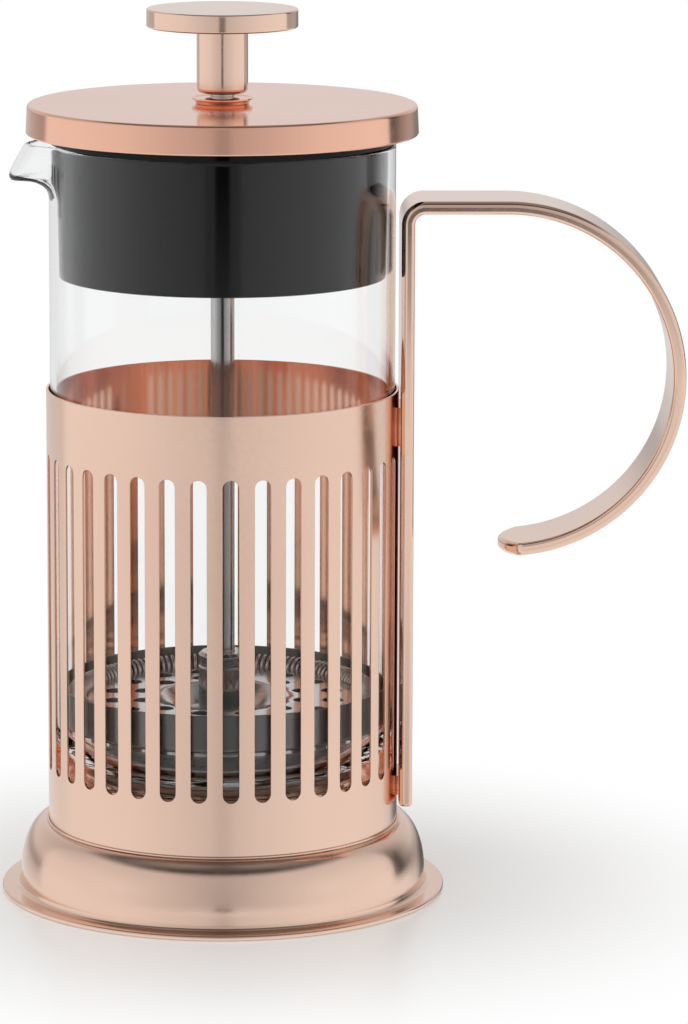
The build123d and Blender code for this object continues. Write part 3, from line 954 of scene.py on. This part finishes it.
def hub():
    """Turned hub with a chamfered top, a waist groove and a broad foot."""
    r, low, high = size("filter_hub")
    bore = rod_bore()
    outline = rounded([(bore, low, 0.05), (r, low, 0.3), (r, high - 3.2, 0.1), (r - 0.35, high - 2.9, 0.1),
                       (r - 0.35, high - 2.5, 0.1), (r, high - 2.2, 0.1), (r, high - 0.6, 0.2),
                       (r - 0.6, high, 0.2), (bore, high, 0.15)])
    return piece_from(lathe("hub", outline, segments=128), STEEL, "filter_hub")


def circle(x, y, r, count):
    """Points of a circle in a plate's plane."""
    turn = 2 * math.pi / count
    return [Vector((x + r * math.cos(k * turn), y + r * math.sin(k * turn))) for k in range(count)]


def plate_plan(circles, bore, outer, holes):
    """Flat points and triangles of a pierced disc, with a ring of points at each end of its dish."""
    plan, edges = [], []
    for x, y, r, count, _ in circles + [(0, 0, r, 120, 0) for r in DISH]:
        base = len(plan)
        plan += circle(x, y, r, count)
        edges += [(base + k, base + (k + 1) % count) for k in range(count)]
    flat, _, triangles, _, _, _ = delaunay_2d_cdt(plan, edges, [], 0, 1e-6)
    kept = []
    for face in triangles:
        middle = sum((flat[v] for v in face), Vector((0, 0))) / 3
        solid = all((middle - Vector((x, y))).length > r + HOLE_EASE * 0.9 for x, y, r in holes)
        if solid and bore < middle.length < outer:
            kept.append(face)
    return flat, kept


def plate_edge(points, normals, faces, ring, top_at, thickness):
    """Wall of a hole (outward -1) or of the rim or bore, eased into both skins."""
    x, y, r, count, outward = ring
    lip = HOLE_EASE if (x, y) != (0, 0) else RIM_EASE
    rings = []
    for grow, drop, facing in ((0, 0, 1), (lip, lip, 0), (lip, thickness - lip, 0), (0, thickness, -1)):
        rings.append(list(range(len(points), len(points) + count)))
        for spot, skin_spot in zip(circle(x, y, r + grow * outward, count), circle(x, y, r, count)):
            away = (spot - Vector((x, y))).normalized() * outward
            points.append((spot.x, spot.y, top_at(skin_spot.length) - drop))
            normals.append((0, 0, facing) if facing else (away.x, away.y, 0))
    faces.extend(face[::-1] if outward > 0 else face for face in closed_walls(rings))


def pierced_plate(name, bore, outer, holes, top_at, thickness, material, node):
    """Plate on a turned profile with eased round holes; holes are (x, y, radius)."""
    circles = [(0, 0, bore, 48, -1), (0, 0, outer, 240, 1)]
    circles += [(x, y, r + HOLE_EASE, 28, -1) for x, y, r in holes]
    flat, kept = plate_plan(circles, bore, outer, holes)
    points, normals, faces = [], [], []
    small = 0.05
    for side in (1, -1):
        base = len(points)
        for spot in flat:
            r = spot.length
            slope = (top_at(r + small) - top_at(r - small)) / (2 * small)
            points.append((spot.x, spot.y, top_at(r) - (0 if side > 0 else thickness)))
            normals.append(Vector((-slope * spot.x / r, -slope * spot.y / r, 1)).normalized() * side)
        for face in kept:
            turned = [base + v for v in face]
            up = (flat[face[1]] - flat[face[0]]).cross(flat[face[2]] - flat[face[0]]) > 0
            faces.append(turned if up == (side > 0) else turned[::-1])
    for ring in circles:
        plate_edge(points, normals, faces, ring, top_at, thickness)
    mesh = make_mesh(name, points, faces, normals)
    merge = bmesh.new()
    merge.from_mesh(mesh)
    bmesh.ops.delete(merge, geom=[v for v in merge.verts if not v.link_faces], context="VERTS")
    merge.to_mesh(mesh)
    merge.free()
    return piece_from(mesh, material, node)


def hole_rings(rings):
    """Centres and radii of rings of holes, from (count, ring radius, hole radius)."""
    holes = []
    for count, ring_r, hole_r in rings:
        for i in range(count):
            angle = 2 * math.pi * (i + 0.5) / count
            holes.append((ring_r * math.cos(angle), ring_r * math.sin(angle), hole_r))
    return holes


def lower_screen_plate():
    """Flat pierced plate under the screen."""
    outer, low, high = size("lower_plate")
    bore = rod_bore()
    return pierced_plate("lower_screen_plate", bore, outer, hole_rings(LOWER_HOLES), lambda r: high,
                         high - low, STEEL, "lower_plate")


def upper_screen_plate():
    """Dished pierced plate whose raised edge carries the coil."""
    outer, low, high = size("spring_plate")
    bore = rod_bore()

    def top_at(r):
        share = min(max((r - DISH[0]) / (DISH[1] - DISH[0]), 0), 1)
        return low + PLATE_T + (high - low - PLATE_T) * share

    return pierced_plate("upper_screen_plate", bore, outer, hole_rings(SPRING_HOLES), top_at, PLATE_T,
                         STEEL, "spring_plate")


def mesh_cup():
    """Woven screen folded up round the coil, with a rolled top edge."""
    outer, low, high = size("filter_mesh")
    bore = rod_bore()
    inner = outer - MESH_T
    outline = rounded([(bore, low, 0.05), (outer, low, 0.9), (outer, high, 0.17), (inner, high, 0.17),
                       (inner, low + MESH_T, 0.6), (bore, low + MESH_T, 0.05)])
    return piece_from(lathe("mesh_cup", outline), SCREEN, "filter_mesh")


def coil_spring():
    """Close coil bent to a ring inside the screen's upturned edge."""
    outer, low, high = size("rim_spring")
    turn_r = (high - low) / 2
    major = outer - turn_r
    helix_r = turn_r - WIRE_R
    steps = 14
    curve = bpy.data.curves.new("coil_spring", "CURVE")
    curve.dimensions = "3D"
    curve.bevel_depth = WIRE_R * MM
    curve.bevel_resolution = 2
    line = curve.splines.new("POLY")
    line.points.add(COIL_TURNS * steps - 1)
    for k, point in enumerate(line.points):
        round_ring = 2 * math.pi * k / (COIL_TURNS * steps)
        round_wire = 2 * math.pi * k / steps
        reach = major + helix_r * math.cos(round_wire)
        point.co = (reach * math.cos(round_ring) * MM, reach * math.sin(round_ring) * MM,
                    ((low + high) / 2 + helix_r * math.sin(round_wire)) * MM, 1)
    line.use_cyclic_u = True
    return piece_from(curve, SPRING_STEEL, "rim_spring")


# ---------------------------------------------------------------- stage, light and camera

def floor():
    """Pale floor, lit near the press and glowing white farther out: the glow leaves the floor round the foot
    darker, a painted soft shadow on top of its real shading.
    """
    mesh = bpy.data.meshes.new("floor")
    span, sink = 4.0, 0.0002
    corners = [(-span, -span, 0), (span, -span, 0), (span, span, 0), (-span, span, 0)]
    mesh.from_pydata(corners, [], [(0, 1, 2, 3)])
    piece = bpy.data.objects.new("floor", mesh)
    bpy.context.scene.collection.objects.link(piece)
    piece.location.z = -sink
    piece.visible_glossy = False
    piece.visible_transmission = False
    material, tree, shader, node = new_material("pale_floor")
    shader.inputs["Base Color"].default_value = (0.86, 0.86, 0.85, 1)
    shader.inputs["Roughness"].default_value = 0.28
    length = node("ShaderNodeVectorMath", operation="LENGTH")
    tree.links.new(object_place(tree, node), length.inputs[0])
    # Lit floor within 5 cm, glow from 13 cm on: the darker ring round the foot is painted soft shadow on top
    # of the real one.
    fade = node("ShaderNodeMapRange", interpolation_type="SMOOTHSTEP", **{"From Min": 0.05, "From Max": 0.13})
    tree.links.new(length.outputs["Value"], fade.inputs["Value"])
    glow = node("ShaderNodeEmission", Color=(1, 1, 1, 1), Strength=1.0)
    mix = node("ShaderNodeMixShader")
    tree.links.new(fade.outputs["Result"], mix.inputs["Fac"])
    tree.links.new(shader.outputs["BSDF"], mix.inputs[1])
    tree.links.new(glow.outputs["Emission"], mix.inputs[2])
    tree.links.new(mix.outputs["Shader"], tree.nodes["Material Output"].inputs["Surface"])
    mesh.materials.append(material)


# Brightness of the surround on rings above the horizon: (height in degrees, stops), each stop
# (degrees towards +X from the camera's side, brightness).
UPPER = (
    (42, ((-180, 0.7), (-130, 0.6), (-90, 0.8), (-40, 0.75), (0, 0.55), (40, 0.75), (90, 0.8),
          (130, 0.6), (180, 0.7))),
    (56, ((-180, 0.35), (-130, 0.1), (-90, 0.2), (-40, 0.06), (40, 0.06), (90, 0.2), (130, 0.1),
          (180, 0.35))),
    (80, ((-180, 0.3), (-60, 0.3), (0, 0.12), (60, 0.3), (180, 0.3))),
)
RINGS = (
    (-26, ((-180, 0.95), (-60, 1.0), (0, 0.95), (60, 1.0), (180, 0.95))),
    (-16, ((-180, 0.95), (-100, 1.0), (-60, 0.98), (-25, 0.82), (-5, 0.68), (-4, 0.5), (4, 0.5), (5, 0.68),
           (25, 0.82), (60, 0.98), (100, 1.0), (145, 0.9), (155, 0.2), (168, 0.2), (180, 0.95))),
    (-10, ((-180, 0.8), (-140, 0.78), (-127, 0.75), (-125, 1.0), (-95, 1.0), (-60, 0.97), (-25, 0.92),
           (-5, 0.95), (5, 0.97), (25, 0.95), (60, 0.98), (95, 1.0), (130, 0.95), (145, 0.6),
           (155, 0.1), (168, 0.1), (180, 0.8))),
    (-7, ((-180, 0.72), (-140, 0.68), (-127, 0.66), (-125, 1.0), (-95, 1.0), (-60, 0.95), (-25, 0.78),
          (-5, 0.7), (-4, 0.02), (4, 0.02), (5, 0.7), (25, 0.82), (60, 0.95), (95, 1.0), (114, 1.0),
          (116, 0.7), (145, 0.5), (155, 0.2), (168, 0.2), (180, 0.72))),
    (-3, ((-180, 0.6), (-140, 0.4), (-127, 0.34), (-125, 1.0), (-95, 1.0), (-60, 0.92), (-25, 0.7),
          (-5, 0.6), (-4, 0.45), (4, 0.45), (5, 0.6), (25, 0.7), (60, 0.92), (95, 1.0), (114, 1.0),
          (115, 0.0), (122, 0.03), (130, 0.25), (142, 0.45), (180, 0.6))),
    (6, ((-180, 0.85), (-140, 0.75), (-127, 0.7), (-125, 0.95), (-60, 0.95), (-20, 0.68), (0, 0.5),
         (20, 0.68), (60, 0.95), (114, 0.95), (115, 0.0), (122, 0.05), (130, 0.4), (145, 0.75),
         (180, 0.85))),
) + UPPER
LEVEL_BEHIND_GLASS = (
    (-180, 0.95), (-127, 0.9), (-125, 1.0), (-80, 1.0), (-50, 0.6), (-20, 0.32), (-13, 0.25), (-11, 0.02),
    (11, 0.02), (13, 0.35), (20, 0.45), (50, 0.7), (80, 0.9), (114, 0.95), (115, 0.1), (124, 0.3),
    (135, 0.9), (180, 0.95))
BEHIND_GLASS = (
    (-26, ((-180, 0.9), (-60, 0.9), (0, 0.5), (60, 0.9), (180, 0.9))),
    (-14, LEVEL_BEHIND_GLASS),
    (4, LEVEL_BEHIND_GLASS),
) + UPPER
PANEL_STRENGTH = 0.9


class Surround:
    """Shader nodes of the world: rings of brightness round the horizon, blended by height."""

    def __init__(self, tree):
        self.tree, self.node = tree, maker(tree)
        split = self.node("ShaderNodeSeparateXYZ")
        tree.links.new(self.node("ShaderNodeTexCoord").outputs["Generated"], split.inputs["Vector"])
        self.height = split.outputs["Z"]
        back = self.maths("MULTIPLY", split.outputs["Y"], -1.0)
        turn = self.maths("ARCTAN2", split.outputs["X"], back)
        share = self.node("ShaderNodeMapRange", **{"From Min": -math.pi, "From Max": math.pi})
        tree.links.new(turn, share.inputs["Value"])
        self.share = share.outputs["Result"]

    def maths(self, operation, first, second):
        """One arithmetic step between two outputs or numbers."""
        made = self.node("ShaderNodeMath", operation=operation)
        for socket, value in zip(made.inputs, (first, second)):
            if isinstance(value, float):
                socket.default_value = value
            else:
                self.tree.links.new(value, socket)
        return made.outputs["Value"]

    def mixed(self, factor, first, second):
        """Blend of two colours."""
        blend = self.node("ShaderNodeMix", data_type="RGBA")
        self.tree.links.new(factor, blend.inputs["Factor"])
        self.tree.links.new(first, blend.inputs[6])
        self.tree.links.new(second, blend.inputs[7])
        return blend.outputs[2]

    def ring(self, stops):
        """Brightness round the horizon at one height."""
        return ramp(self.tree, self.node, self.share, *[((angle + 180) / 360, grey(level))
                                                        for angle, level in stops])

    def dome(self, rings):
        """Rings of brightness blended from each height to the next."""
        colour = self.ring(rings[0][1])
        for (below, _), (above, stops) in zip(rings, rings[1:]):
            low, high = math.sin(math.radians(below)), math.sin(math.radians(above))
            lift = self.node("ShaderNodeMapRange", interpolation_type="SMOOTHSTEP",
                             **{"From Min": low, "From Max": high})
            self.tree.links.new(self.height, lift.inputs["Value"])
            colour = self.mixed(lift.outputs["Result"], colour, self.ring(stops))
        return colour


def studio():
    """White surround for the eye and for matt light; mirrors and what glass covers see the rings."""
    world = bpy.data.worlds.new("studio")
    bpy.context.scene.world = world
    world.use_nodes = True
    tree = world.node_tree
    tree.nodes.clear()
    sky = Surround(tree)
    path = sky.node("ShaderNodeLightPath")
    refracted = path.outputs["Is Transmission Ray"]
    unmirrored = sky.maths("LESS_THAN", path.outputs["Glossy Depth"], 0.5)
    plainly = sky.maths("MAXIMUM", path.outputs["Is Camera Ray"], path.outputs["Is Diffuse Ray"])
    plainly = sky.maths("MAXIMUM", plainly, sky.maths("MULTIPLY", refracted, unmirrored))
    panels = sky.node("ShaderNodeBackground", Strength=PANEL_STRENGTH)
    tree.links.new(sky.mixed(refracted, sky.dome(RINGS), sky.dome(BEHIND_GLASS)), panels.inputs["Color"])
    white = sky.node("ShaderNodeBackground", Color=(1, 1, 1, 1), Strength=1.0)
    mix = sky.node("ShaderNodeMixShader")
    tree.links.new(plainly, mix.inputs["Fac"])
    tree.links.new(panels.outputs["Background"], mix.inputs[1])
    tree.links.new(white.outputs["Background"], mix.inputs[2])
    output = sky.node("ShaderNodeOutputWorld")
    tree.links.new(mix.outputs["Shader"], output.inputs["Surface"])


def lamp(name, place, target, side, power):
    """Soft square area light aimed at a point."""
    light = bpy.data.lights.new(name, "AREA")
    light.size = side
    light.energy = power
    holder = bpy.data.objects.new(name, light)
    bpy.context.scene.collection.objects.link(holder)
    holder.visible_glossy = False
    holder.visible_transmission = False
    holder.location = place
    holder.rotation_euler = (Vector(target) - Vector(place)).to_track_quat("-Z", "Y").to_euler()
    return holder


def camera():
    """Long lens a metre away, a little above the lid and tipped down."""
    data = bpy.data.cameras.new("camera")
    data.sensor_width = 36.0
    data.lens = 189.47
    holder = bpy.data.objects.new("camera", data)
    bpy.context.scene.collection.objects.link(holder)
    place = (0, -1.08596, 0.28625)
    pitch, yaw, roll = 0.18908, 0.022902, 0.003483
    ahead = Vector((math.sin(yaw) * math.cos(pitch), math.cos(yaw) * math.cos(pitch), -math.sin(pitch)))
    right = Vector((math.cos(yaw), -math.sin(yaw), 0))
    up = right.cross(ahead)
    right, up = (right * math.cos(roll) + up * math.sin(roll), up * math.cos(roll) - right * math.sin(roll))
    turn = Matrix((right, up, -ahead)).transposed().to_4x4()
    holder.matrix_world = Matrix.Translation(place) @ turn
    bpy.context.scene.camera = holder


camera()
studio()
floor()
lamp("top_lamp", place=(-0.3, -0.2, 1.1), target=(0, 0, 0.08), side=0.9, power=2.0)
bpy.context.scene.view_settings.view_transform = "Standard"
bpy.context.scene.cycles.max_bounces = 28
bpy.context.scene.cycles.glossy_bounces = 14
bpy.context.scene.cycles.transmission_bounces = 24

foot_bell()
slotted_sleeve()
floor_plate()
silicone_pad()
handle_bar()
braze_saddles()
beaker()
cap_shell()
insert_plug()
collar()
hexagon_nut("collar_nut", COLLAR_NUT_R, size("lid_ferrule")[0] - FERRULE_STEP + GAP, STEEL, "ferrule_nut")
rod_guide()
knob()
rod()
hub()
hexagon_nut("hub_lock_nut", HUB_NUT_R, rod_bore(), STEEL, "hub_nut")
lower_screen_plate()
mesh_cup()
upper_screen_plate()
coil_spring()
